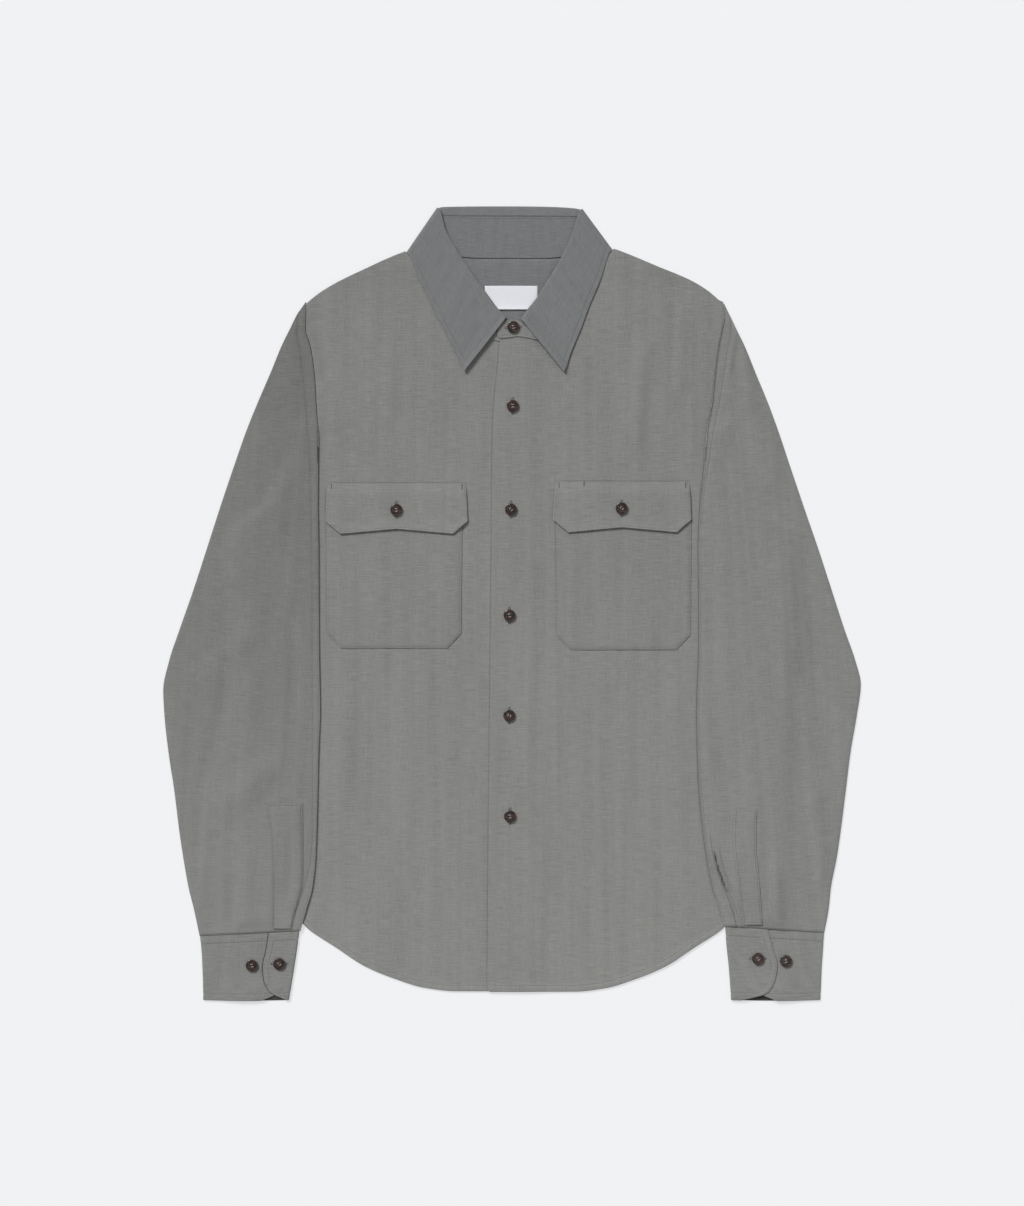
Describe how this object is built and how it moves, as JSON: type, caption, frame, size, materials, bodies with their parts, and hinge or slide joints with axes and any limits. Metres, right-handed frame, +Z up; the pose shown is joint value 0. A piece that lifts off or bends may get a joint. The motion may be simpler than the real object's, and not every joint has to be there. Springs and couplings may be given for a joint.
{
  "type": "long-sleeved button-front shirt with flap pockets",
  "caption": "Long-sleeved shirt laid flat and buttoned to the neck, with a turn-down collar, flap patch pockets, buttoned cuffs and a curved shirt-tail hem.",
  "frame": {"origin": "middle of the laid-out shirt's box, on the surface it lies on", "axes": "+X to the wearer's left sleeve, +Y from hem to collar, +Z up, out of the front"},
  "size_m": [0.698, 0.7948, 0.0095],
  "materials": {
    "cloth": "matt woven cloth, mid grey with a fine cross-hatched slub",
    "button": "dark horn-like, satin",
    "label": "smooth woven tape, bare"
  },
  "bodies": {
    "root": {"back": "cloth", "yoke": "cloth", "front_right": "cloth", "front_left": "cloth", "sleeve_right": "cloth", "sleeve_left": "cloth", "sleeve_placket_right": "cloth", "sleeve_placket_left": "cloth", "cuff_right": "cloth", "cuff_left": "cloth", "collar_leaf": "cloth", "collar_stand": "cloth", "pocket_right": "cloth", "pocket_left": "cloth", "pocket_flap_right": "cloth", "pocket_flap_left": "cloth", "button_neck": "button", "button_front_1": "button", "button_front_2": "button", "button_front_3": "button", "button_front_4": "button", "button_front_5": "button", "button_flap_right": "button", "button_flap_left": "button", "button_cuff_right_1": "button", "button_cuff_right_2": "button", "button_cuff_left_1": "button", "button_cuff_left_2": "button", "label": "label"}
  },
  "joints": []
}
